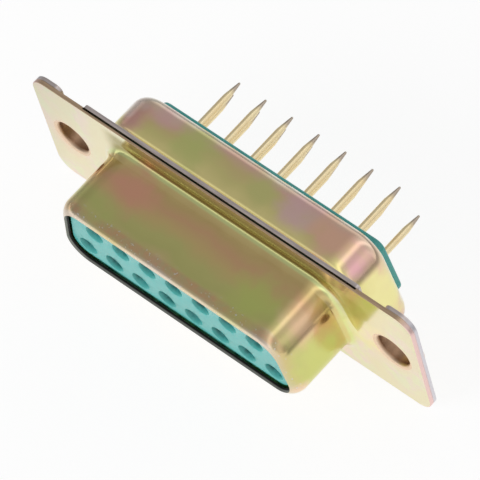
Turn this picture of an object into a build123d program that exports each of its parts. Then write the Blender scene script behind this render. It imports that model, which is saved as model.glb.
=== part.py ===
"""15-way D-subminiature socket connector with straight board pins, all sizes in millimetres.

Two drawn sheet shells meet at a flange and hold two moulded insulators between them. The front
shell's D-shaped shroud faces -Y, the board pins point to +Y, and the narrow row of contacts is
on the +Z side. The origin is the centre of the flange's front face.
"""
import os
from math import radians, sqrt, tan

from build123d import *

# Contact pattern
wide_row_count = 8
narrow_row_count = 7
pitch = 2.77
row_gap = 2.84

# Sheet and fits
sheet = 0.35
fit = 0.05
side_angle = 10.0

# Front shell: shroud, measured to its outer wall
shroud_side_margin = 2.635
shroud_edge_margin = 2.53
shroud_corner = 2.6
shroud_depth = 6.5
shroud_base_radius = 0.9
rim_radius = 0.85
lip_reach = 0.9

# Flange and ears
ear_hole_reach = 4.33
ear_end = 2.91
flange_edge = 0.905
flange_corner = 1.5

# Ear collars, clinched over behind the rear shell
mount_hole_radius = 1.525
collar_entry_radius = 0.4
clinch_height = 0.6
clinch_ledge = 0.47
clinch_radius = 0.38

# Rear shell: body, measured to its outer wall
body_step = 1.42
body_corner = 2.9
body_back = 4.98
body_base_radius = 0.8
back_rim_radius = 1.15

# Rear shell: notches in the flange's long edges, beside the ears' tabs
notch_margin = 0.4
notch_width = 2.53
notch_depth = 1.5
notch_corner = 0.3
tab_corner = 0.6

# Front insulator
face_recess = 0.38
nose_gap = 0.37
nose_setback = 0.6
ledge_step = 0.4
entry_wall = 0.7
split = 1.2

# Rear insulator, whose boss stands out of the rear shell's D-shaped opening
boss_side_margin = 2.53
boss_edge_margin = 1.58
boss_corner = 0.9
boss_stand = 0.85
boss_edge_radius = 0.2

# Contacts and their sleeves
entry_radius = 0.6
lead_in = 0.25
lead_in_depth = 0.5
pin_bore_radius = 0.5
pin_bore_depth = 4.8
tine_wall = 0.16
slot_width = 0.18
slot_length = 4.2
sleeve_play = 0.03
sleeve_wall = 0.12
sleeve_length = 5.6
sleeve_mouth_radius = 0.55
tine_setback = 0.2
shoulder_radius = 1.1
shoulder_length = 0.8
shank_radius = 0.6
shank_length = 2.1
tail_radius = 0.3
tail_hole_radius = 0.4
tail_end = 11.0
tip_length = 1.4
tip_radius = 0.1

# Sizes that follow from the ones above
row_span = (wide_row_count - 1) * pitch
shroud_width = row_span + 2 * shroud_side_margin
shroud_height = row_gap + 2 * shroud_edge_margin
body_width = shroud_width + 2 * body_step
body_height = shroud_height + 2 * body_step
boss_width = row_span + 2 * boss_side_margin
boss_height = row_gap + 2 * boss_edge_margin
ear_hole_x = shroud_width / 2 + ear_hole_reach
flange_width = 2 * (ear_hole_x + ear_end)
flange_height = body_height + 2 * flange_edge
flange_back = 2 * sheet
collar_radius = mount_hole_radius + sheet
collar_end = flange_back + clinch_height
rim_front = -shroud_depth
root_radius = shroud_base_radius + sheet
face = rim_front + face_recess
core_front = rim_front + rim_radius + nose_setback
ledge_front = sheet - root_radius + sqrt(root_radius**2 - (root_radius - ledge_step) ** 2) + fit
boss_back = body_back + boss_stand
tine_radius = pin_bore_radius + tine_wall
sleeve_radius = tine_radius + sleeve_play + sleeve_wall
sleeve_front = face + entry_wall + fit
sleeve_back = sleeve_front + sleeve_length
tine_front = sleeve_front + tine_setback
shoulder_front = split - shoulder_length
shank_back = split + shank_length


def d_shape(width, height, corner):
    """D outline with rounded corners, wide side down, as wide and high as its arcs reach."""
    low = width / 2 - corner
    rise = height / 2 - corner
    high = low - 2 * rise * tan(radians(side_angle))
    arc_centres = Polygon((-low, -rise), (low, -rise), (high, rise), (-high, rise), align=None)
    return offset(arc_centres, amount=corner)


def shroud_shape(inset=0.0):
    """The shroud's outline, moved inwards from its outer wall."""
    return d_shape(shroud_width - 2 * inset, shroud_height - 2 * inset, shroud_corner - inset)


def body_shape(inset=0.0):
    """The rear body's outline, moved inwards from its outer wall."""
    return d_shape(body_width - 2 * inset, body_height - 2 * inset, body_corner - inset)


def boss_shape(grow=0.0):
    """The rear boss's outline, moved outwards from the boss."""
    return d_shape(boss_width + 2 * grow, boss_height + 2 * grow, boss_corner + grow)


def slab(outline, front, back):
    """A straight block of an XZ outline, between two places along Y."""
    return extrude(Plane.XZ.offset(-back) * outline, back - front)


def loop(part, y, width, height):
    """The edges that lie at one place along Y, inside a box of that width and height."""
    level = part.edges().filter_by_position(Axis.Y, y - 0.001, y + 0.001)
    return level.filter_by(lambda e: abs(e.center().X) < width / 2 and abs(e.center().Z) < height / 2)


def contact_places():
    """Centres of the contacts: the wide row first, then the narrow row."""
    rows = ((wide_row_count, -row_gap / 2), (narrow_row_count, row_gap / 2))
    return [((i - (count - 1) / 2) * pitch, z) for count, z in rows for i in range(count)]


def at_contacts(outline):
    """An outline repeated at every contact."""
    return Sketch() + [Pos(x, z) * outline for x, z in contact_places()]


def at_ears(outline):
    """An outline repeated at the two mounting holes."""
    return Sketch() + [Pos(x, 0) * outline for x in (-ear_hole_x, ear_hole_x)]


def make_front_shell():
    """Flange, shroud with its turned-in lip, and the two clinched ear collars."""
    shroud = slab(shroud_shape(), rim_front, sheet)
    shroud = fillet(loop(shroud, rim_front, shroud_width, shroud_height), rim_radius)
    shell = slab(RectangleRounded(flange_width, flange_height, flange_corner), 0, sheet) + shroud
    shell = fillet(loop(shell, 0, shroud_width + sheet, shroud_height + sheet), shroud_base_radius)

    hollow = slab(shroud_shape(sheet), rim_front + sheet, sheet)
    hollow = fillet(loop(hollow, rim_front + sheet, shroud_width, shroud_height), rim_radius - sheet)
    shell = shell - hollow - slab(shroud_shape(lip_reach), rim_front, 0)
    shell = fillet(loop(shell, sheet, shroud_width, shroud_height), root_radius)

    shell += slab(at_ears(Circle(collar_radius)), 0, collar_end)
    clinch = slab(at_ears(Circle(collar_radius + clinch_ledge)), flange_back, collar_end)
    shell += fillet(loop(clinch, collar_end, 2 * flange_width, flange_height), clinch_radius)
    shell -= slab(at_ears(Circle(mount_hole_radius)), 0, collar_end)
    hole_edges = shell.edges().filter_by(GeomType.CIRCLE)
    hole_edges = hole_edges.filter_by(lambda e: abs(e.radius - mount_hole_radius) < 0.001)
    shell = fillet(hole_edges.group_by(Axis.Y)[0], collar_entry_radius)
    hole_edges = shell.edges().filter_by(GeomType.CIRCLE)
    hole_edges = hole_edges.filter_by(lambda e: abs(e.radius - mount_hole_radius) < 0.001)
    return fillet(hole_edges.group_by(Axis.Y)[-1], clinch_radius)


def make_rear_flange():
    """The rear shell's flange outline: four edge notches leave a round-cornered tab behind each ear."""
    inner_end = body_width / 2 + notch_margin
    tab_side = inner_end + notch_width
    edge = flange_height / 2
    flange = RectangleRounded(flange_width, flange_height, flange_corner)
    for x in (-1, 1):
        for z in (-1, 1):
            centre = Pos(x * (inner_end + tab_side) / 2, z * edge)
            flange -= centre * Rectangle(notch_width, 2 * notch_depth)
    for end, radius in ((inner_end, notch_corner), (tab_side, tab_corner)):
        corners = flange.vertices().filter_by(lambda v: abs(abs(v.X) - end) + abs(abs(v.Y) - edge) < 0.001)
        flange = fillet(corners, radius)
    return flange - at_ears(Circle(collar_radius + fit))


def make_rear_shell():
    """Notched flange and the deeper D-shaped body with its rounded rear rim around the opening."""
    body = slab(body_shape(), sheet, body_back)
    body = fillet(loop(body, body_back, body_width, body_height), back_rim_radius)
    shell = slab(make_rear_flange(), sheet, flange_back) + body
    shell = fillet(loop(shell, flange_back, body_width + sheet, body_height + fit), body_base_radius)

    hollow = slab(body_shape(sheet), sheet, body_back - sheet)
    hollow = fillet(loop(hollow, body_back - sheet, body_width, body_height), back_rim_radius - sheet)
    shell = shell - hollow - slab(boss_shape(fit), 0, body_back)
    return fillet(loop(shell, sheet, body_width, body_height), body_base_radius + sheet)


def make_front_insulator():
    """Moulded block with the contact cavities: narrow nose, core, and a ledge behind the shroud's root."""
    block = slab(shroud_shape(lip_reach + nose_gap), face, core_front)
    block += slab(shroud_shape(sheet + fit), core_front, split)
    block += slab(shroud_shape(sheet + fit - ledge_step), ledge_front, split)

    from_face = (Align.CENTER, Align.CENTER, Align.MIN)
    mouth = Rot(-90, 0, 0) * Cone(entry_radius + lead_in, entry_radius, lead_in_depth, align=from_face)
    block -= [Pos(x, face, z) * mouth for x, z in contact_places()]
    block -= slab(at_contacts(Circle(entry_radius)), face, split)
    block -= slab(at_contacts(Circle(sleeve_radius + fit)), face + entry_wall, split)
    return block - slab(at_contacts(Circle(shoulder_radius + fit)), shoulder_front - fit, split)


def make_rear_insulator():
    """Moulded plate that closes the contact cavities, with a boss through the rear opening."""
    core_back = body_back - sheet - fit
    core = slab(body_shape(sheet + fit), split, core_back)
    core = fillet(loop(core, core_back, body_width, body_height), back_rim_radius - sheet - fit)
    boss = slab(boss_shape(), split, boss_back)
    boss = fillet(loop(boss, boss_back, body_width, body_height), boss_edge_radius)
    block = core + boss
    block -= slab(at_contacts(Circle(shank_radius + fit)), split, shank_back + fit)
    return block - slab(at_contacts(Circle(tail_hole_radius)), split, boss_back)


def make_contact():
    """Turned socket contact on the Y axis: slotted barrel, shoulder, shank and pointed tail."""
    outline = Polyline(
        (0, tine_front),
        (tine_radius, tine_front),
        (tine_radius, sleeve_back),
        (sleeve_radius, sleeve_back),
        (sleeve_radius, shoulder_front),
        (shoulder_radius, shoulder_front),
        (shoulder_radius, split),
        (shank_radius, split),
        (shank_radius, shank_back),
        (tail_radius, shank_back),
        (tail_radius, tail_end - tip_length),
        (tip_radius, tail_end),
        (0, tail_end),
        close=True,
    )
    contact = revolve(make_face(outline), Axis.Y)
    contact -= slab(Circle(pin_bore_radius), tine_front, tine_front + pin_bore_depth)
    slot = Rectangle(slot_width, 2 * shoulder_radius)
    return contact - slab(slot, tine_front, tine_front + slot_length)


def make_sleeve():
    """Thin sleeve around the tines, with a turned-in mouth."""
    sleeve = slab(Circle(sleeve_radius), sleeve_front, sleeve_back)
    sleeve -= slab(Circle(tine_radius + sleeve_play), sleeve_front + sleeve_wall, sleeve_back)
    return sleeve - slab(Circle(sleeve_mouth_radius), sleeve_front, sleeve_back)


parts = {
    "front_shell": make_front_shell(),
    "rear_shell": make_rear_shell(),
    "front_insulator": make_front_insulator(),
    "rear_insulator": make_rear_insulator(),
}
contact = make_contact()
sleeve = make_sleeve()
for number, (x, z) in enumerate(contact_places(), start=1):
    parts[f"contact_{number:02d}"] = Pos(x, 0, z) * contact
    parts[f"contact_sleeve_{number:02d}"] = Pos(x, 0, z) * sleeve

os.makedirs("parts", exist_ok=True)
for name, part in parts.items():
    export_step(part, f"parts/{name}.step")
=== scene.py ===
"""The finished 15-way D-subminiature socket connector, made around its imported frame.

Sizes are in millimetres along the frame's axes, in the finishes too, and each shape tree turns
them into the frame's metres. Only the floor, the lamp and the camera are placed in metres. The
pieces come in the order in which the connector is put together.
"""
from math import cos, pi, radians, sin, sqrt, tan

import bmesh
import bpy
from mathutils import Matrix, Vector


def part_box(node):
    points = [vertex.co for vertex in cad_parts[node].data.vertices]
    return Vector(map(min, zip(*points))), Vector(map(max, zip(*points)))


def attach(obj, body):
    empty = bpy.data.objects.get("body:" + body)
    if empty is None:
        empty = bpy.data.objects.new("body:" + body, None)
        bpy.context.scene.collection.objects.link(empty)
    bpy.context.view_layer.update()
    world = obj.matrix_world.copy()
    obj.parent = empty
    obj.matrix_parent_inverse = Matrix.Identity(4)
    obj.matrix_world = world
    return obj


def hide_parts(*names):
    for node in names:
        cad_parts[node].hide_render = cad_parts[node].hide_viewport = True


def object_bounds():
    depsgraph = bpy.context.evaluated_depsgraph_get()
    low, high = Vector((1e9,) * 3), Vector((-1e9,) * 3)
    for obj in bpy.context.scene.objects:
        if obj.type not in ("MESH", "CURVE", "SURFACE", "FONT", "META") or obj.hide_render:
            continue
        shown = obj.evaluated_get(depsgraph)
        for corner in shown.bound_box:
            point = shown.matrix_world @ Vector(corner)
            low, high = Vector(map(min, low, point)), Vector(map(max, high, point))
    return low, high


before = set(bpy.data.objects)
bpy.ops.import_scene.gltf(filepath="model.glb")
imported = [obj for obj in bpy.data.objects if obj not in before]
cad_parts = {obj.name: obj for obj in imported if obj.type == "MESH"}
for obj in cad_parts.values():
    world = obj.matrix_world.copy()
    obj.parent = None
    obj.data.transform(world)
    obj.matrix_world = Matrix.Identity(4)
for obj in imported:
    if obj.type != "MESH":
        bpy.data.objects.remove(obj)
cad_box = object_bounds()

# Contacts
# Fifteen socket contacts, turned from brass rod and gold plated. Two slotted tines grip the mating
# pin, a shoulder holds the contact between the insulators, and the tail goes through the board.

millimetre = 0.001


def box(node):
    """A node's lowest and highest corners, in millimetres."""
    return [[value / millimetre for value in corner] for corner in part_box(node)]


def middle(node):
    """The middle of a node's box, in millimetres."""
    return [(low + high) / 2 for low, high in zip(*box(node))]


wide_row = 8
narrow_row = 7
contact_nodes = [f"contact_{number:02d}" for number in range(1, wide_row + narrow_row + 1)]
sleeve_nodes = [f"contact_sleeve_{number:02d}" for number in range(1, wide_row + narrow_row + 1)]
pitch = middle("contact_02")[0] - middle("contact_01")[0]
row_gap = middle("contact_09")[2] - middle("contact_01")[2]

tine_front = box("contact_01")[0][1]
tail_end = box("contact_01")[1][1]
shoulder_radius = box("contact_01")[1][0] - middle("contact_01")[0]
sleeve_front = box("contact_sleeve_01")[0][1]
sleeve_back = box("contact_sleeve_01")[1][1]
sleeve_radius = box("contact_sleeve_01")[1][0] - middle("contact_sleeve_01")[0]
split = box("front_insulator")[1][1]

sleeve_wall = 0.12
sleeve_play = 0.03
tine_radius = sleeve_radius - sleeve_wall - sleeve_play
pin_bore_radius = 0.5
pin_bore_depth = 4.8
drill_point = 0.3
slot_length = 4.2
slot_width = 0.18
shoulder_length = 0.8
shoulder_front = split - shoulder_length
shank_radius = 0.6
shank_length = 2.1
shank_back = split + shank_length
tail_radius = 0.3
taper_length = 1.6
tip_radius = 0.1
tip_side_angle = 8
turned_edge = 0.04
turn_steps = 40
weld = 0.001
crease_angle = 35


def arc(centre, radius, start, end, steps=6):
    """Points of an arc in a section, its angles in degrees from the outward side."""
    angles = [radians(start + (end - start) * step / steps) for step in range(steps + 1)]
    return [(centre[0] + radius * cos(angle), centre[1] + radius * sin(angle)) for angle in angles]


class Value:
    """A node's output. Arithmetic on it adds Math nodes to its tree."""

    def __init__(self, tree, socket):
        self.tree = tree
        self.socket = socket

    def __add__(self, other):
        return self.tree.math("ADD", self, other)

    def __sub__(self, other):
        return self.tree.math("SUBTRACT", self, other)

    def __rsub__(self, other):
        return self.tree.math("SUBTRACT", other, self)

    def __mul__(self, other):
        return self.tree.math("MULTIPLY", self, other)

    def __truediv__(self, other):
        return self.tree.math("DIVIDE", self, other)

    __radd__ = __add__


class Tree:
    """A node tree that is built by adding nodes, each with its settings and its sockets."""

    def __init__(self, node_tree):
        self.node_tree = node_tree

    def add(self, kind, inputs=None, output=0, **settings):
        """A node's output, after its settings are set and its sockets given values or links."""
        node = self.node_tree.nodes.new(kind)
        for name, value in settings.items():
            setattr(node, name, value)
        for name, value in (inputs or {}).items():
            for item in value if isinstance(value, list) else [value]:
                if isinstance(item, Value):
                    self.node_tree.links.new(item.socket, node.inputs[name])
                else:
                    node.inputs[name].default_value = item
        return Value(self, node.outputs[output])

    def math(self, operation, first, second=0.0):
        """A Math node on one or two numbers or outputs."""
        return self.add("ShaderNodeMath", {0: first, 1: second}, operation=operation)

    def noise(self, vector, scale, detail=2.0):
        """Soft noise from 0 to 1, so many lumps to a millimetre."""
        inputs = {"Vector": vector, "Scale": scale, "Detail": detail}
        return self.add("ShaderNodeTexNoise", inputs)

    def axes(self, vector, names="XYZ"):
        """The numbers of a vector along some axes."""
        split_up = self.add("ShaderNodeSeparateXYZ", {"Vector": vector})
        return [Value(self, split_up.socket.node.outputs[name]) for name in names]

    def ramp(self, value, stops):
        """Greys or colours between stops, which are given in the value's own units, lowest first."""
        low = stops[0][0]
        span = stops[-1][0] - low
        ramp = self.add("ShaderNodeValToRGB", {"Fac": (value - low) / span})
        elements = ramp.socket.node.color_ramp.elements
        while len(elements) < len(stops):
            elements.new(1)
        for element, (place, level) in zip(elements, stops):
            element.position = (place - low) / span
            element.color = level if isinstance(level, tuple) else (level, level, level, 1)
        return ramp

    def bump(self, height, strength, depth):
        """A bumped normal, its depth in millimetres."""
        inputs = {"Height": height, "Strength": strength, "Distance": depth * millimetre}
        return self.add("ShaderNodeBump", inputs)

    def rise(self, value, start, end):
        """From 0 to 1, smoothly, as a value goes from one number to another."""
        inputs = {"Value": value, "From Min": start, "From Max": end}
        return self.add("ShaderNodeMapRange", inputs, interpolation_type="SMOOTHSTEP")

    def distance(self, first, second):
        """How far one place is from another."""
        places = {0: first, 1: second}
        return self.add("ShaderNodeVectorMath", places, "Value", operation="DISTANCE")

    def stretch(self, vector, scale):
        """A vector with each of its numbers scaled."""
        return self.add("ShaderNodeMapping", {"Vector": vector, "Scale": scale})

    def mix(self, factor, first, second):
        """A colour between two colours."""
        inputs = {0: factor, 6: first, 7: second}
        return self.add("ShaderNodeMix", inputs, 2, data_type="RGBA")


def shape_tree(name, inputs):
    """A new Geometry Nodes tree, and its named inputs."""
    node_tree = bpy.data.node_groups.new(name, "GeometryNodeTree")
    node_tree.interface.new_socket("Shape", in_out="OUTPUT", socket_type="NodeSocketGeometry")
    for label, kind in inputs.items():
        node_tree.interface.new_socket(label, in_out="INPUT", socket_type="NodeSocket" + kind)
    tree = Tree(node_tree)
    group_input = node_tree.nodes.new("NodeGroupInput")
    return tree, {label: Value(tree, group_input.outputs[label]) for label in inputs}


def end_tree(tree, shape, material):
    """Ends a shape tree: laid along the frame's Y axis in metres, as one mesh of one material."""
    scale = (millimetre, millimetre, millimetre)
    laid = {"Geometry": shape, "Rotation": (pi / 2, 0, 0), "Scale": scale}
    laid = tree.add("GeometryNodeTransform", laid)
    plain = tree.add("GeometryNodeRealizeInstances", {"Geometry": laid})
    finished = tree.add("GeometryNodeSetMaterial", {"Geometry": plain, "Material": material})
    group_output = tree.node_tree.nodes.new("NodeGroupOutput")
    tree.node_tree.links.new(finished.socket, group_output.inputs[0])
    return tree.node_tree


def make_turned_tree():
    """A half-section turned round an axis, and repeated along one or two rows."""
    tree, given = shape_tree("turned in rows", {
        "Section": "Geometry",
        "Steps": "Int",
        "Slot Width": "Float",
        "Slot End": "Float",
        "Pitch": "Float",
        "Row Gap": "Float",
        "Wide Row": "Int",
        "Narrow Row": "Int",
        "Material": "Material",
    })
    path = {"Resolution": given["Steps"], "Radius": 1.0}
    path = tree.add("GeometryNodeCurvePrimitiveCircle", path, mode="RADIUS")
    path = tree.add("GeometryNodeSetCurveNormal", {"Curve": path}, mode="Z_UP")
    section = tree.add("GeometryNodeMeshToCurve", {"Mesh": given["Section"]})
    from_path = {"Geometry": section, "Translation": (-1.0, 0, 0)}
    section = tree.add("GeometryNodeTransform", from_path)
    wall = tree.add("GeometryNodeCurveToMesh", {"Curve": path, "Profile Curve": section})
    wall = tree.add("GeometryNodeMergeByDistance", {"Geometry": wall, "Distance": weld / 2})

    saw_length = 20.0
    blade = {"X": given["Slot Width"], "Y": saw_length, "Z": saw_length}
    blade = tree.add("GeometryNodeMeshCube", {"Size": tree.add("ShaderNodeCombineXYZ", blade)})
    saw_place = tree.add("ShaderNodeCombineXYZ", {"Z": saw_length / 2 - given["Slot End"]})
    blade = tree.add("GeometryNodeTransform", {"Geometry": blade, "Translation": saw_place})
    sawn = {"Mesh 1": wall, "Mesh 2": blade}
    sawn = tree.add("GeometryNodeMeshBoolean", sawn, operation="DIFFERENCE")
    slotted = tree.add("FunctionNodeCompare", {0: given["Slot Width"]}, operation="GREATER_THAN")
    choice = {"Switch": slotted, "False": wall, "True": sawn}
    wall = tree.add("GeometryNodeSwitch", choice, input_type="GEOMETRY")

    rows = []
    step = tree.add("ShaderNodeCombineXYZ", {"X": given["Pitch"]})
    for count, side in ((given["Wide Row"], -0.5), (given["Narrow Row"], 0.5)):
        first = {"X": (count - 1) * given["Pitch"] * -0.5, "Y": given["Row Gap"] * side}
        first = tree.add("ShaderNodeCombineXYZ", first)
        row = {"Count": count, "Start Location": first, "Offset": step}
        rows.append(tree.add("GeometryNodeMeshLine", row))
    places = tree.add("GeometryNodeJoinGeometry", {"Geometry": rows})
    copies = {"Points": places, "Instance": wall}
    copies = tree.add("GeometryNodeInstanceOnPoints", copies)
    return end_tree(tree, copies, given["Material"])


def run_tree(shape, chains, closed=False, **inputs):
    """The mesh that a shape tree makes from a section's chains of points."""
    points = [(reach, y, 0) for chain in chains for reach, y in chain]
    edges = []
    start = 0
    for chain in chains:
        last = start + len(chain) - 1
        edges += [(index, index + 1) for index in range(start, last)]
        if closed:
            edges.append((last, start))
        start = last + 1
    mesh = bpy.data.meshes.new("section")
    mesh.from_pydata(points, edges, [])
    drawn = bpy.data.objects.new("section", mesh)
    bpy.context.scene.collection.objects.link(drawn)
    modifier = drawn.modifiers.new("shape", "NODES")
    modifier.node_group = shape
    identifiers = {socket.name: socket.identifier for socket in shape.interface.items_tree}
    for name, value in inputs.items():
        modifier[identifiers[name.replace("_", " ").title()]] = value
    depsgraph = bpy.context.evaluated_depsgraph_get()
    made = bpy.data.meshes.new_from_object(drawn.evaluated_get(depsgraph))
    bpy.data.objects.remove(drawn)
    return made


turned_tree = make_turned_tree()


def turned(material, chain, closed=False, steps=turn_steps, slot=(0.0, 0.0),
           across=(wide_row, narrow_row), apart=(pitch, row_gap)):
    """A turned shape at every contact, or at other places along one or two rows."""
    return run_tree(
        turned_tree, [chain], closed, steps=steps, slot_width=slot[0], slot_end=slot[1],
        pitch=apart[0], row_gap=apart[1], wide_row=across[0], narrow_row=across[1],
        material=material,
    )


def joined(name, walls, flats=()):
    """One closed mesh object of several walls, closed by flat faces at some places along Y."""
    body = bmesh.new()
    materials = []
    for wall in walls:
        count = len(body.faces)
        body.from_mesh(wall)
        body.faces.ensure_lookup_table()
        finish = wall.materials[-1]
        if finish not in materials:
            materials.append(finish)
        for face in body.faces[count:]:
            face.material_index = materials.index(finish)
    bmesh.ops.remove_doubles(body, verts=body.verts, dist=weld * millimetre)
    for y in flats:
        level = {vert for vert in body.verts if abs(vert.co.y / millimetre - y) < weld}
        inside = [face for face in body.faces if level.issuperset(face.verts)]
        bmesh.ops.delete(body, geom=inside, context="FACES")
        open_edges = [edge for edge in body.edges if edge.is_boundary and level.issuperset(edge.verts)]
        bmesh.ops.triangle_fill(body, edges=open_edges, use_beauty=True)
    bmesh.ops.recalc_face_normals(body, faces=body.faces)
    mesh = bpy.data.meshes.new(name)
    body.to_mesh(mesh)
    body.free()
    for material in materials:
        mesh.materials.append(material)
    piece = bpy.data.objects.new(name, mesh)
    bpy.context.scene.collection.objects.link(piece)
    return piece


def fit_piece(piece, slot, *nodes):
    """Shades a finished piece, and puts it in place of its CAD nodes on the connector's only body."""
    piece.data.shade_smooth()
    piece.data.set_sharp_from_angle(angle=radians(crease_angle))
    piece.modifiers.new("even_shading", "WEIGHTED_NORMAL").keep_sharp = True
    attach(piece, "root")
    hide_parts(*nodes)


def new_material(name):
    """A new material's tree, its surface shader's node and the object's own place in millimetres."""
    material = bpy.data.materials.new(name)
    material.use_nodes = True
    tree = Tree(material.node_tree)
    surface = material.node_tree.nodes["Principled BSDF"]
    place = {"Vector": tree.add("ShaderNodeTexCoord", output="Object"), "Scale": 1 / millimetre}
    place = tree.add("ShaderNodeVectorMath", place, operation="SCALE")
    return material, tree, surface, place


def drive(tree, surface, **sockets):
    """Sets or links sockets of a surface shader, named in lower case."""
    for name, value in sockets.items():
        socket = surface.inputs[name.replace("_", " ").title()]
        if isinstance(value, Value):
            tree.node_tree.links.new(value.socket, socket)
        else:
            socket.default_value = value


def make_gold():
    """Satin gold over turned brass, warmer in places, and bare brass where the tips were cut."""
    material, tree, surface, place = new_material("gold_plating")
    [y] = tree.axes(place, "Y")
    bloom = tree.noise(place, scale=0.9, detail=3.0)
    plated = tree.mix(bloom, (1.0, 0.90, 0.60, 1), (1.0, 0.76, 0.42, 1))
    bare_brass = (0.50, 0.42, 0.36, 1)
    at_tip = tree.rise(y + bloom * 0.6, tail_end - 1.1, tail_end - 0.3) * 0.9
    rings = tree.add("ShaderNodeTexNoise", {"W": y, "Scale": 40.0}, noise_dimensions="1D")
    drive(
        tree, surface,
        base_color=tree.mix(at_tip, plated, bare_brass),
        metallic=1.0,
        roughness=0.3 + bloom * 0.12,
        normal=tree.bump(rings, strength=0.05, depth=0.01),
    )
    return material


gold = make_gold()
tine_middle = (pin_bore_radius + tine_radius) / 2
mouth_radius = (tine_radius - pin_bore_radius) / 2
contact_chain = [
    (0, tine_front + pin_bore_depth + drill_point),
    (pin_bore_radius, tine_front + pin_bore_depth),
    *arc((tine_middle, tine_front + mouth_radius), mouth_radius, 180, 360),
    (tine_radius, sleeve_back),
    (sleeve_radius, sleeve_back),
    (sleeve_radius, shoulder_front),
    *arc((shoulder_radius - turned_edge, shoulder_front + turned_edge), turned_edge, -90, 0),
    *arc((shoulder_radius - turned_edge, split - turned_edge), turned_edge, 0, 90),
    (shank_radius, split),
    *arc((shank_radius - turned_edge, shank_back - turned_edge), turned_edge, 0, 90),
    (tail_radius, shank_back),
    (tail_radius, tail_end - taper_length),
    *arc((0, tail_end - tip_radius), tip_radius, tip_side_angle, 90),
]
tine_slot = (slot_width, tine_front + slot_length)
contacts = joined("socket_contacts", [turned(gold, contact_chain, slot=tine_slot)])
fit_piece(contacts, "contact_gold", *contact_nodes)

# Contact sleeves
# A thin drawn stainless sleeve slides over each contact's tines up to the step behind them. Its
# turned-in mouth guides the pin and keeps the tines from being forced apart.

sleeve_mouth_radius = 0.55
sleeve_edge = 0.05


def make_steel():
    """Drawn stainless steel, plain and slightly brushed along its length."""
    material, tree, surface, place = new_material("sleeve_steel")
    stretched = tree.stretch(place, (6, 0.3, 6))
    draw_marks = tree.noise(stretched, scale=1.0)
    drive(
        tree, surface,
        base_color=(0.56, 0.55, 0.52, 1),
        metallic=1.0,
        roughness=0.2 + draw_marks * 0.15,
        normal=tree.bump(draw_marks, strength=0.1, depth=0.005),
    )
    return material


steel = make_steel()
sleeve_chain = [
    (sleeve_radius, sleeve_back),
    *arc((sleeve_radius - sleeve_edge, sleeve_front + sleeve_edge), sleeve_edge, 0, -90),
    *arc((sleeve_mouth_radius + sleeve_edge, sleeve_front + sleeve_edge), sleeve_edge, -90, -180),
    (sleeve_mouth_radius, sleeve_front + sleeve_wall),
    (sleeve_radius - sleeve_wall, sleeve_front + sleeve_wall),
    (sleeve_radius - sleeve_wall, sleeve_back),
]
sleeves = joined("closed_entry_sleeves", [turned(steel, sleeve_chain, closed=True)])
fit_piece(sleeves, "sleeve_steel", *sleeve_nodes)

# Front insulator
# Moulded green thermoplastic, one block whose nose shows in the shroud's mouth. Its 15 stepped
# cavities hold the contacts, their cone-shaped mouths guide the mating pins, and a ledge behind the
# shroud's root keeps the block from being pulled out.

sheet = 0.35
fit = 0.05
side_angle = radians(10)
shroud_corner = 2.6
shroud_base_radius = 0.9
nose_end_reach = -1.04
nose_side_reach = -1.27
nose_corner = 1.4
ledge_step = 0.4
shroud_front = box("front_shell")[0][1]
ledge_low, ledge_high = box("front_insulator")
face = ledge_low[1]
core_reach = -(sheet + fit)
ledge_reach = core_reach + ledge_step
shroud_width = ledge_high[0] - ledge_low[0] - 2 * ledge_reach
shroud_height = ledge_high[2] - ledge_low[2] - 2 * ledge_reach
core_setback = 1.45
core_front = shroud_front + core_setback
root_radius = shroud_base_radius + sheet
ledge_front = sheet - root_radius + sqrt(root_radius**2 - (root_radius - ledge_step) ** 2) + fit
moulded_edge = 0.06
entry_radius = 0.6
lead_in = 0.25
lead_in_depth = 0.5
lead_in_turn = 60
entry_end = sleeve_front - fit
corner_steps = 20


def make_outline_tree():
    """A section swept round a closed outline, whose corners are rounded by their own radii."""
    tree, given = shape_tree("section round an outline", {
        "Section": "Geometry",
        "Outline": "Object",
        "Corner Steps": "Int",
        "Material": "Material",
    })
    outline = tree.add("GeometryNodeObjectInfo", {"Object": given["Outline"]}, "Geometry")
    outline = tree.add("GeometryNodeMeshToCurve", {"Mesh": outline})
    corner = tree.add("GeometryNodeInputNamedAttribute", {"Name": "corner"})
    rounded = {"Curve": outline, "Count": given["Corner Steps"], "Radius": corner}
    outline = tree.add("GeometryNodeFilletCurve", rounded, mode="POLY")
    outline = tree.add("GeometryNodeSetCurveNormal", {"Curve": outline}, mode="Z_UP")
    section = tree.add("GeometryNodeMeshToCurve", {"Mesh": given["Section"]})
    wall = tree.add("GeometryNodeCurveToMesh", {"Curve": outline, "Profile Curve": section})
    return end_tree(tree, wall, given["Material"])


outline_tree = make_outline_tree()


def outline_object(name, corners):
    """A closed outline to sweep round, from its corners: X, Z and the radius of each."""
    mesh = bpy.data.meshes.new(name)
    count = len(corners)
    edges = [(index, (index + 1) % count) for index in range(count)]
    mesh.from_pydata([(x, z, 0) for x, z, radius in corners], edges, [])
    radii = mesh.attributes.new("corner", "FLOAT", "POINT")
    radii.data.foreach_set("value", [radius for x, z, radius in corners])
    outline = bpy.data.objects.new(name, mesh)
    bpy.context.scene.collection.objects.link(outline)
    return outline


def d_corners(width, height, corner):
    """The corners of a D, wide side down, as wide and high as its rounded corners reach."""
    low = width / 2 - corner + corner * (1 / cos(side_angle) + tan(side_angle))
    high = low - height * tan(side_angle)
    top = height / 2
    return [(-low, -top, corner), (low, -top, corner), (high, top, corner), (-high, top, corner)]


def swept(material, outline, *chains):
    """Walls swept round an outline, from chains of outward reach and Y."""
    return run_tree(outline_tree, chains, outline=outline, corner_steps=corner_steps,
                    material=material)


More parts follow.
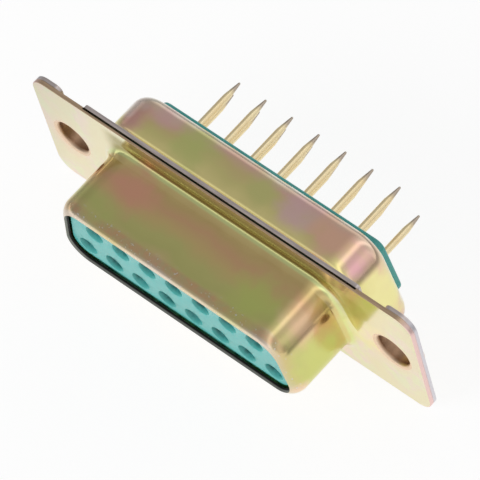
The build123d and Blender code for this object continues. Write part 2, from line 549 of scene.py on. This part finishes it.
def make_moulded_green():
    """Glass-filled green thermoplastic: a cloudy, glossy skin, painted darker and mottled behind the
    face, as shade in the cavities and round the nose.
    """
    material, tree, surface, place = new_material("green_insulator")
    [y] = tree.axes(place, "Y")
    cloud = tree.noise(place, scale=0.25, detail=4.0)
    mottle = tree.rise(tree.noise(place, scale=1.6), 0.4, 0.6)
    grain = tree.noise(place, scale=7.0)
    skin = tree.mix(cloud, (0.06, 0.50, 0.46, 1), (0.16, 0.62, 0.59, 1))
    # Painted shade: everything deeper than the face is painted darker, with a mottle.
    cavity_shade = tree.mix(mottle, (0.01, 0.20, 0.19, 1), (0.06, 0.42, 0.41, 1))
    within = tree.rise(y, face + 0.05, face + 0.4) * tree.rise(y, split - 0.2, split - 0.5)
    drive(
        tree, surface,
        base_color=tree.mix(within, skin, cavity_shade),
        roughness=0.18 + cloud * 0.12,
        normal=tree.bump(grain, strength=0.15, depth=0.01),
    )
    return material


green = make_moulded_green()
shroud_outline = outline_object("shroud_line", d_corners(shroud_width, shroud_height, shroud_corner))
nose_size = (shroud_width + 2 * nose_end_reach, shroud_height + 2 * nose_side_reach)
nose_outline = outline_object("nose_line", d_corners(*nose_size, nose_corner))
nose_chain = [*arc((-moulded_edge, face + moulded_edge), moulded_edge, -90, 0), (0, core_front)]
core_chain = [
    *arc((core_reach - moulded_edge, core_front + moulded_edge), moulded_edge, -90, 0),
    (core_reach, ledge_front),
    *arc((ledge_reach - moulded_edge, ledge_front + moulded_edge), moulded_edge, -90, 0),
    (ledge_reach, split),
]
cavity_chain = [
    *arc((entry_radius + lead_in + moulded_edge, face + moulded_edge), moulded_edge,
         -90, -90 - lead_in_turn),
    (entry_radius, face + lead_in_depth),
    (entry_radius, entry_end),
    (sleeve_radius + fit, entry_end),
    (sleeve_radius + fit, shoulder_front - fit),
    (shoulder_radius + fit, shoulder_front - fit),
    (shoulder_radius + fit, split),
]
front_insulator = joined(
    "front_insulator_block",
    [
        swept(green, nose_outline, nose_chain),
        swept(green, shroud_outline, core_chain),
        turned(green, cavity_chain),
    ],
    [face, core_front, split],
)
fit_piece(front_insulator, "insulator", "front_insulator")

# Rear insulator
# A second moulding of the same green plastic. It closes the cavities behind the contacts, and its
# D-shaped boss stands out of the rear shell's opening, with a small hole for each tail.

body_corner = 2.9
plate_low, plate_high = box("rear_insulator")
body_width = plate_high[0] - plate_low[0] - 2 * core_reach
body_height = plate_high[2] - plate_low[2] - 2 * core_reach
body_back = box("rear_shell")[1][1]
boss_back = plate_high[1]
core_back = body_back - sheet - fit
back_rim_radius = 1.15
inner_rim_radius = back_rim_radius - sheet - fit
boss_side_margin = 2.53
boss_edge_margin = 1.58
boss_width = (wide_row - 1) * pitch + 2 * boss_side_margin
boss_height = row_gap + 2 * boss_edge_margin
boss_corner = 0.9
boss_edge_radius = 0.2
tail_hole_radius = 0.4
body_outline = outline_object("body_line", d_corners(body_width, body_height, body_corner))
boss_outline = outline_object("boss_line", d_corners(boss_width, boss_height, boss_corner))
plate_chain = [
    (core_reach, split),
    *arc((-back_rim_radius, core_back - inner_rim_radius), inner_rim_radius, 0, 90),
]
boss_chain = [
    (0, core_back),
    *arc((-boss_edge_radius, boss_back - boss_edge_radius), boss_edge_radius, 0, 90),
]
tail_hole_chain = [
    (shank_radius + fit, split),
    (shank_radius + fit, shank_back + fit),
    (tail_hole_radius, shank_back + fit),
    *arc((tail_hole_radius + moulded_edge, boss_back - moulded_edge), moulded_edge, 180, 90),
]
rear_insulator = joined(
    "rear_insulator_plate",
    [
        swept(green, body_outline, plate_chain),
        swept(green, boss_outline, boss_chain),
        turned(green, tail_hole_chain),
    ],
    [split, core_back, boss_back],
)
fit_piece(rear_insulator, "insulator", "rear_insulator")

# Rear shell
# Drawn steel with yellow passivated zinc plating: a flange whose long edges are notched beside both
# ears, and a deeper D-shaped body whose rounded rim turns in around the rear insulator's boss.

flange_low, flange_high = box("front_shell")
flange_width = flange_high[0] - flange_low[0]
flange_height = flange_high[2] - flange_low[2]
flange_back = 2 * sheet
flange_corner = 1.5
body_base_radius = 0.8
notch_margin = 0.4
notch_width = 2.53
inner_end = body_width / 2 + notch_margin
tab_side = inner_end + notch_width
notch_depth = 1.5
notch_corner = 0.3
notch_floor_corner = 0.15
tab_corner = 0.6
mount_hole_radius = 1.525
ear_hole_x = 16.66
collar_radius = mount_hole_radius + sheet
rolled_edge = 0.07
sheared_edge = 0.04

# The film's colours at places along Y, from the shroud's mouth to the body's back. The bright
# yellow at 1.2 is a painted highlight on the body's root fillet, and the cream at 4.8 a painted
# highlight on its rounded back rim.
film_and_highlight_bands = [
    (-6.4, (0.74, 0.62, 0.50, 1)),
    (-5.7, (0.70, 0.57, 0.27, 1)),
    (-4.9, (0.60, 0.58, 0.22, 1)),
    (-4.2, (0.63, 0.60, 0.23, 1)),
    (-3.3, (0.72, 0.55, 0.24, 1)),
    (-2.2, (0.74, 0.46, 0.25, 1)),
    (-1.2, (0.68, 0.50, 0.22, 1)),
    # A painted highlight on the body's root fillet.
    (1.2, (0.94, 0.82, 0.36, 1)),
    (2.2, (0.80, 0.72, 0.30, 1)),
    (3.0, (0.78, 0.64, 0.30, 1)),
    (3.8, (0.86, 0.56, 0.44, 1)),
    (4.5, (0.84, 0.66, 0.50, 1)),
    # A painted highlight on the body's back rim.
    (4.8, (0.96, 0.88, 0.74, 1)),
]

# Each stain's middle, radius, strength and colour: on the ears, the shroud's top, the body's top,
# the body's ends and the shroud's ends. The pale one at the body's left end is a painted highlight,
# and the rose-beige one at the shroud's right corner is a painted reflection.
stains_and_highlights = [
    ((ear_hole_x - 0.4, 0, -0.3), 3.0, 0.8, (0.95, 0.68, 0.52, 1)),
    ((-ear_hole_x - 0.4, 0, -0.3), 3.0, 0.8, (0.95, 0.68, 0.52, 1)),
    ((7.0, -4.2, 3.9), 3.4, 0.8, (0.61, 0.68, 0.20, 1)),
    ((-7.2, -2.2, 3.9), 3.0, 0.9, (0.84, 0.43, 0.29, 1)),
    ((-8.0, -4.8, 3.9), 2.2, 0.6, (0.60, 0.64, 0.22, 1)),
    ((-5.0, 3.0, 5.3), 2.6, 0.9, (0.68, 0.72, 0.26, 1)),
    ((2.0, 3.2, 5.3), 2.0, 0.9, (0.72, 0.70, 0.28, 1)),
    ((-10.8, 2.4, 5.3), 1.8, 0.9, (0.86, 0.46, 0.42, 1)),
    ((-8.6, 4.0, 5.3), 1.6, 0.8, (0.88, 0.56, 0.52, 1)),
    ((5.6, 3.2, 5.3), 2.6, 0.8, (0.88, 0.57, 0.60, 1)),
    ((9.0, 3.0, 5.3), 2.6, 0.95, (0.96, 0.58, 0.42, 1)),
    # A painted highlight at the body's left end.
    ((-12.2, 4.2, 4.2), 2.6, 0.9, (0.95, 0.86, 0.80, 1)),
    ((11.9, 2.4, 4.6), 1.7, 1.0, (0.92, 0.52, 0.53, 1)),
    ((13.4, 2.6, 0.5), 4.3, 1.0, (0.97, 0.90, 0.42, 1)),
    # A painted reflection on the shroud's right corner.
    ((11.3, -3.6, 3.0), 2.3, 0.95, (0.88, 0.60, 0.38, 1)),
    ((12.4, -3.6, -0.8), 4.4, 1.0, (0.64, 0.66, 0.22, 1)),
    ((13.2, 0.0, 3.0), 2.2, 0.85, (0.56, 0.54, 0.22, 1)),
    ((12.2, -6.0, -2.0), 1.3, 0.9, (0.92, 0.66, 0.46, 1)),
    ((-12.3, -3.2, 1.0), 3.0, 0.7, (0.66, 0.66, 0.26, 1)),
]


def make_yellow_zinc():
    """Zinc under a yellow passivation film, which turns brown, green, rose and mauve in soft patches.

    It also carries painted highlights on the root fillets, the back rim, the ears and two corners, and
    a painted dark reflection above the shroud and painted shade in the flanges' joint.
    """
    material, tree, surface, place = new_material("yellow_zinc")
    x, y, z = tree.axes(place)
    cloud = tree.noise(place, scale=0.22, detail=1.0)
    patch = tree.noise(place, scale=0.6)
    film = tree.ramp(y + (cloud - 0.5) * 2.4 + (patch - 0.5) * 0.8, film_and_highlight_bands)

    # Painted highlight: the shroud's root fillet is painted green-yellow as its bright line.
    at_root = tree.rise(y, -0.5, -0.3) * tree.rise(y, 0.3, 0.0)
    root_fillet_highlight = (0.76, 0.80, 0.36, 1)
    film = tree.mix(at_root, film, root_fillet_highlight)
    speckle = tree.rise(tree.noise(place, scale=2.0, detail=3.0), 0.3, 0.7)
    rim_brown = tree.mix(speckle, (0.70, 0.42, 0.24, 1), (0.60, 0.48, 0.26, 1))
    at_rim = tree.rise(y, -5.4, -5.8) * tree.rise(y, -6.3, -6.1) * tree.rise(z, 2.0, 3.6)
    film = tree.mix(at_rim * 0.8, film, rim_brown)

    # Painted light on the flange: the ears are painted pale as sheen over the film's green and pink,
    # and the flange above the shroud is painted dark olive as a dark reflection.
    pale_sheen = tree.mix(tree.rise(patch, 0.42, 0.58), (0.78, 0.78, 0.53, 1), (0.86, 0.72, 0.60, 1))
    ears_with_sheen = tree.mix(tree.rise(cloud, 0.35, 0.6), pale_sheen, (0.82, 0.75, 0.50, 1))
    above_shroud = tree.rise(z, 3.0, 4.2) * tree.rise(z, 6.1, 5.2)
    between_ears = tree.rise(tree.math("ABSOLUTE", x), 12.5, 10.5)
    dark_reflection_olive = (0.42, 0.37, 0.16, 1)
    flange_painted_light = tree.mix(above_shroud * between_ears, ears_with_sheen, dark_reflection_olive)
    on_flange = tree.rise(y, -0.3, -0.04) * tree.rise(y, 1.0, 0.72)
    film = tree.mix(on_flange, film, flange_painted_light)
    # Painted shade: the face where the flanges meet is painted near black as the shade in their joint.
    in_joint = tree.rise(tree.math("ABSOLUTE", y - sheet), 0.04, 0.02)
    joint_shade = (0.05, 0.04, 0.03, 1)
    film = tree.mix(in_joint, film, joint_shade)

    for centre, radius, strength, colour in stains_and_highlights:
        away = tree.distance(place, centre) + (patch - 0.5) * radius
        film = tree.mix(tree.rise(away, radius, radius * 0.2) * strength, film, colour)

    wave = tree.noise(place, scale=0.5, detail=1.0)
    pits = tree.rise(tree.noise(place, scale=4.0, detail=1.0), 0.66, 0.74) * tree.rise(y, -5.2, -5.8)
    pit_grey = (0.75, 0.72, 0.72, 1)
    drive(
        tree, surface,
        base_color=tree.mix(pits * 0.6, film, pit_grey),
        metallic=1.0,
        roughness=0.12 + patch * 0.08 + pits * 0.2,
        normal=tree.bump(wave, strength=0.3, depth=0.02),
    )
    return material


def make_edge_zinc():
    """The same film on the cut edges of both flanges, rougher, browner in front and greyer behind."""
    material, tree, surface, place = new_material("cut_edge_zinc")
    x, y = tree.axes(place, "XY")
    stretched = tree.stretch(place, (0.5, 6, 0.5))
    tear = tree.noise(stretched, scale=1.0, detail=3.0)
    front = tree.mix(tear, (0.36, 0.24, 0.15, 1), (0.84, 0.62, 0.42, 1))
    back = tree.mix(tear, (0.36, 0.31, 0.31, 1), (0.90, 0.80, 0.76, 1))
    film = tree.mix(tree.rise(y, sheet - 0.03, sheet + 0.03), front, back)
    rose = (0.90, 0.64, 0.60, 1)
    lilac = (0.72, 0.70, 0.74, 1)
    end = tree.mix(tree.rise(y, sheet - 0.1, sheet + 0.1), rose, lilac)
    near_end = tree.rise(tree.math("ABSOLUTE", x), flange_width / 2 - 1.2, flange_width / 2 - 0.2)
    drive(
        tree, surface,
        base_color=tree.mix(near_end, film, end),
        metallic=1.0,
        roughness=0.3 + tear * 0.15,
        normal=tree.bump(tear, strength=0.4, depth=0.01),
    )
    return material


zinc = make_yellow_zinc()
edge_zinc = make_edge_zinc()


def in_ears(material, chain, steps=64):
    """A turned shape in each of the two ears."""
    return turned(material, chain, steps=steps, across=(2, 0), apart=(2 * ear_hole_x, 0))


def notched_corners():
    """The corners of the rear flange: rounded ears, and a notch beside each of them on both edges."""
    top = flange_height / 2
    quarter = [
        (flange_width / 2, top, flange_corner),
        (tab_side, top, tab_corner),
        (tab_side, top - notch_depth, notch_floor_corner),
        (inner_end, top - notch_depth, notch_floor_corner),
        (inner_end, top, notch_corner),
    ]
    left = [(-x, z, radius) for x, z, radius in reversed(quarter)]
    upper = quarter + left
    return upper + [(x, -z, radius) for x, z, radius in reversed(upper)]


notched_outline = outline_object("notched_line", notched_corners())
body_wall_chain = [
    *arc((body_base_radius, flange_back + body_base_radius), body_base_radius, -90, -180),
    *arc((-back_rim_radius, body_back - back_rim_radius), back_rim_radius, 0, 90, steps=12),
]
body_lining_chain = [
    *arc((-back_rim_radius, body_back - back_rim_radius), back_rim_radius - sheet, 90, 0),
    *arc((body_base_radius, flange_back + body_base_radius), body_base_radius + sheet, -180, -90),
]
opening_chain = [
    *arc((fit + sheared_edge, body_back - sheared_edge), sheared_edge, 90, 180),
    (fit, body_back - sheet),
]
rear_edge_chain = [
    *arc((-sheared_edge, sheet + sheared_edge), sheared_edge, -90, 0),
    *arc((-rolled_edge, flange_back - rolled_edge), rolled_edge, 0, 90),
]
clearance_chain = [(collar_radius + fit, sheet), (collar_radius + fit, flange_back)]
rear_shell = joined(
    "rear_shell_drawn",
    [
        swept(zinc, body_outline, body_wall_chain, body_lining_chain),
        swept(zinc, boss_outline, opening_chain),
        swept(edge_zinc, notched_outline, rear_edge_chain),
        in_ears(zinc, clearance_chain),
    ],
    [sheet, flange_back, body_back - sheet, body_back],
)
fit_piece(rear_shell, "shell_plating", "rear_shell")

# Front shell
# Drawn from one sheet with the same plating: the flange, the D-shaped shroud whose sheared edge
# turns in at the mouth, and a collar in each ear that is rolled over behind the rear shell. Both
# long edges of the flange are pressed thin behind, which leaves a gap along the rear flange; the
# joint's dark line is painted shade.

collar_entry_radius = 0.4
clinch_height = 0.6
clinch_ledge = 0.47
clinch_radius = 0.38
clinch_back = flange_back + clinch_height
clinch_reach = collar_radius + clinch_ledge
joint_gap = 0.18
joint_depth = 1.0
rim_radius = 1.4
rim_turn = 61
rim_centre = shroud_front + rim_radius * sin(radians(rim_turn))


def make_raw_steel():
    """Bare steel where the shroud's mouth was cut: scored on its outer half; its torn inner half is
    painted black as the shade of the gap behind it.
    """
    material, tree, surface, place = new_material("raw_steel")
    [y] = tree.axes(place, "Y")
    stretched = tree.stretch(place, (12, 2, 12))
    score = tree.noise(stretched, scale=1.0, detail=3.0)
    scored = tree.mix(score, (0.20, 0.21, 0.19, 1), (0.34, 0.34, 0.31, 1))
    # Painted shade: the torn inner half is painted black for the shade of the gap behind it.
    torn_black_shade = (0.02, 0.02, 0.02, 1)
    on_inner_half = tree.rise(y, shroud_front + 0.13, shroud_front + 0.2)
    drive(
        tree, surface,
        base_color=tree.mix(on_inner_half, scored, torn_black_shade),
        metallic=1.0,
        roughness=0.45,
        normal=tree.bump(score, strength=0.3, depth=0.01),
    )
    return material


def make_bore_zinc():
    """The film where the ear's metal was drawn into a collar: salmon round the mouth as a painted
    highlight on its rounded entry, and brown inside as painted shade in the bore.
    """
    material, tree, surface, place = new_material("bore_zinc")
    x, z = tree.axes(place, "XZ")
    from_hole = tree.math("ABSOLUTE", x) - ear_hole_x
    reach = tree.math("SQRT", from_hole * from_hole + z * z)
    drawn = tree.noise(place, scale=1.2, detail=3.0)
    # Painted shade inside the bore, and a painted highlight round its mouth.
    bore_shade_brown = tree.mix(drawn, (0.26, 0.15, 0.08, 1), (0.56, 0.36, 0.24, 1))
    mouth_highlight_salmon = tree.mix(drawn, (0.94, 0.66, 0.50, 1), (0.84, 0.70, 0.50, 1))
    mouth = tree.rise(reach, mount_hole_radius, mount_hole_radius + 0.2)
    drive(
        tree, surface,
        base_color=tree.mix(mouth, bore_shade_brown, mouth_highlight_salmon),
        metallic=1.0,
        roughness=0.35 + drawn * 0.1,
    )
    return material


shroud_chain = [
    *arc((shroud_base_radius, -shroud_base_radius), shroud_base_radius, 90, 180, steps=10),
    *arc((-rim_radius, rim_centre), rim_radius, 0, -rim_turn, steps=14),
]
lining_chain = [
    *arc((-rim_radius, rim_centre), rim_radius - sheet, -rim_turn, 0),
    *arc((shroud_base_radius, -shroud_base_radius), root_radius, 180, 90, steps=10),
]
cut_chain = [shroud_chain[-1], lining_chain[0]]
front_edge_chain = [
    *arc((-rolled_edge, rolled_edge), rolled_edge, -90, 0),
    *arc((-sheared_edge, sheet - sheared_edge), sheared_edge, 0, 90),
]
collar_chain = [
    *arc((mount_hole_radius + collar_entry_radius, collar_entry_radius), collar_entry_radius,
         -90, -180, steps=10),
    *arc((mount_hole_radius + clinch_radius, clinch_back - clinch_radius), clinch_radius,
         180, 90, steps=8),
    *arc((clinch_reach - clinch_radius, clinch_back - clinch_radius), clinch_radius, 90, 0, steps=8),
    (clinch_reach - rolled_edge, flange_back),
    (collar_radius, flange_back),
    (collar_radius, sheet),
]
flange_sides = ((1, -1), (1, 1), (-1, 1), (-1, -1))
flange_corners = [(x * flange_width / 2, z * flange_height / 2, flange_corner) for x, z in flange_sides]
flange_outline = outline_object("flange_line", flange_corners)
front_shell = joined(
    "front_shell_drawn",
    [
        swept(zinc, shroud_outline, shroud_chain, lining_chain),
        swept(make_raw_steel(), shroud_outline, cut_chain),
        swept(edge_zinc, flange_outline, front_edge_chain),
        in_ears(make_bore_zinc(), collar_chain),
    ],
    [0, sheet],
)


def press_joint(shell):
    """Presses the flange's back edge thin along both long sides, up to the notches."""
    overlap = 0.1
    size = Vector((2 * inner_end - joint_gap, joint_gap + overlap, joint_depth + overlap))
    y = sheet + (overlap - joint_gap) / 2
    z = (flange_height + overlap - joint_depth) / 2
    body = bmesh.new()
    for side in (-1, 1):
        block = bmesh.ops.create_cube(body, size=1)["verts"]
        bmesh.ops.scale(body, vec=size * millimetre, verts=block)
        bmesh.ops.translate(body, vec=Vector((0, y, side * z)) * millimetre, verts=block)
    mesh = bpy.data.meshes.new("press")
    body.to_mesh(mesh)
    body.free()
    press = bpy.data.objects.new("press", mesh)
    bpy.context.scene.collection.objects.link(press)
    cut = shell.modifiers.new("pressed", "BOOLEAN")
    cut.object = press
    cut.solver = "EXACT"
    depsgraph = bpy.context.evaluated_depsgraph_get()
    shell.data = bpy.data.meshes.new_from_object(shell.evaluated_get(depsgraph))
    shell.modifiers.remove(cut)
    bpy.data.objects.remove(press)


press_joint(front_shell)
fit_piece(front_shell, "shell_plating", "front_shell")
outlines = [nose_outline, shroud_outline, body_outline, boss_outline, notched_outline, flange_outline]
for outline in outlines:
    bpy.data.objects.remove(outline)

# Studio
# The connector stands on white paper. Its metal mirrors a grey room with a bright strip overhead, a
# pale panel on the right and a white front. The camera looks down from the front right, from afar.

floor_reach = 2.0
floor_z = cad_box[0][2]
black = (0, 0, 0, 1)
white = (1, 1, 1, 1)


def make_floor_white():
    """White paper: near white to the camera with a faint shadow, and dark far away in the metal."""
    material, tree, surface, place = new_material("floor_white")
    [y] = tree.axes(place, "Y")
    seen = tree.add("ShaderNodeLightPath", output="Is Camera Ray")
    mirrored = tree.add("ShaderNodeLightPath", output="Is Glossy Ray")
    away = tree.distance(place, (8, -8, 0))
    mirrored_glow = tree.ramp(away, [(28, 0.6), (45, 0.25), (60, 0.05), (110, 0.0)])
    in_front = tree.rise(y, -12, -30)
    mirrored_glow = tree.mix(in_front, mirrored_glow, (0.6, 0.6, 0.6, 1))
    glow = tree.mix(mirrored, black, mirrored_glow)
    paper_glow = (0.88, 0.88, 0.88, 1)
    paper = (0.75, 0.75, 0.75, 1)
    shadowed_paper = (0.2, 0.2, 0.2, 1)
    drive(
        tree, surface,
        base_color=tree.mix(seen, paper, shadowed_paper),
        roughness=1.0,
        emission_color=tree.mix(seen, glow, paper_glow),
        emission_strength=1.0,
    )
    return material


floor_mesh = bpy.data.meshes.new("floor")
floor_sides = ((-1, -1), (1, -1), (1, 1), (-1, 1))
floor_corners = [(x * floor_reach, y * floor_reach, floor_z) for x, y in floor_sides]
floor_mesh.from_pydata(floor_corners, [], [(0, 1, 2, 3)])
floor_mesh.materials.append(make_floor_white())
floor = bpy.data.objects.new("floor", floor_mesh)
bpy.context.scene.collection.objects.link(floor)


def make_room():
    """The room: white to the camera, lit from the sides for dull surfaces, and striped in the metal."""
    world = bpy.data.worlds.new("soft_dome")
    world.use_nodes = True
    tree = Tree(world.node_tree)
    x, y, z = tree.axes(tree.add("ShaderNodeTexCoord", output="Generated"))
    # The metal's room, in grey levels from its left wall to its right one.
    mirror_room = tree.ramp(x, [
        (-0.94, 0.46), (-0.88, 0.36), (-0.60, 0.40), (-0.30, 0.46), (-0.12, 0.58), (0.06, 0.72),
        (0.19, 1.2), (0.28, 1.2), (0.43, 0.62), (0.60, 0.68), (0.74, 0.86), (0.86, 0.80),
        (0.92, 0.62), (0.96, 0.50),
    ])
    front = tree.rise(y, -0.70, -0.82) * tree.rise(z, 0.22, 0.08)
    back = tree.rise(y, 0.60, 0.85) * tree.rise(z, 0.60, 0.25)
    mirror_room = tree.mix(front, mirror_room, white)
    mirror_room = tree.mix(back * 0.5, mirror_room, white)
    dim_ceiling = (0.2, 0.2, 0.2, 1)
    plain_room = tree.mix(tree.rise(z, 0.15, 0.75), white, dim_ceiling)
    mirrored = tree.add("ShaderNodeLightPath", output="Is Glossy Ray")
    seen = tree.add("ShaderNodeLightPath", output="Is Camera Ray")
    light = tree.mix(seen, tree.mix(mirrored, plain_room, mirror_room), white)
    background = world.node_tree.nodes["Background"]
    world.node_tree.links.new(light.socket, background.inputs["Color"])
    return world


bpy.context.scene.world = make_room()

lamp_data = bpy.data.lights.new("front_lamp", "AREA")
lamp_data.size = 0.3
lamp_data.energy = 1.0
lamp_distance = 0.5
lamp_direction = Vector((-0.46, -0.83, 0.30)).normalized()
lamp = bpy.data.objects.new("front_lamp", lamp_data)
lamp.matrix_world = lamp_direction.to_track_quat("Z", "Y").to_matrix().to_4x4()
lamp.location = lamp_direction * lamp_distance
lamp.visible_glossy = False
bpy.context.scene.collection.objects.link(lamp)

# The camera is the one that was fitted to the photo's contact holes, pin tips and mounting holes.
camera_data = bpy.data.cameras.new("camera")
camera_data.sensor_width = 36
camera_data.lens = 405.97
camera_place = (0.19316, -0.12537, 0.34525)
camera_right = Vector((0.7369, 0.6536, -0.1725))
camera_up = Vector((-0.4914, 0.6932, 0.5273))
camera_back = Vector((0.4643, -0.3038, 0.8319))
camera_turn = Matrix((camera_right, camera_up, camera_back)).transposed().to_4x4()
camera = bpy.data.objects.new("camera", camera_data)
camera.matrix_world = Matrix.Translation(camera_place) @ camera_turn
bpy.context.scene.collection.objects.link(camera)
bpy.context.scene.camera = camera
bpy.context.scene.view_settings.view_transform = "Standard"
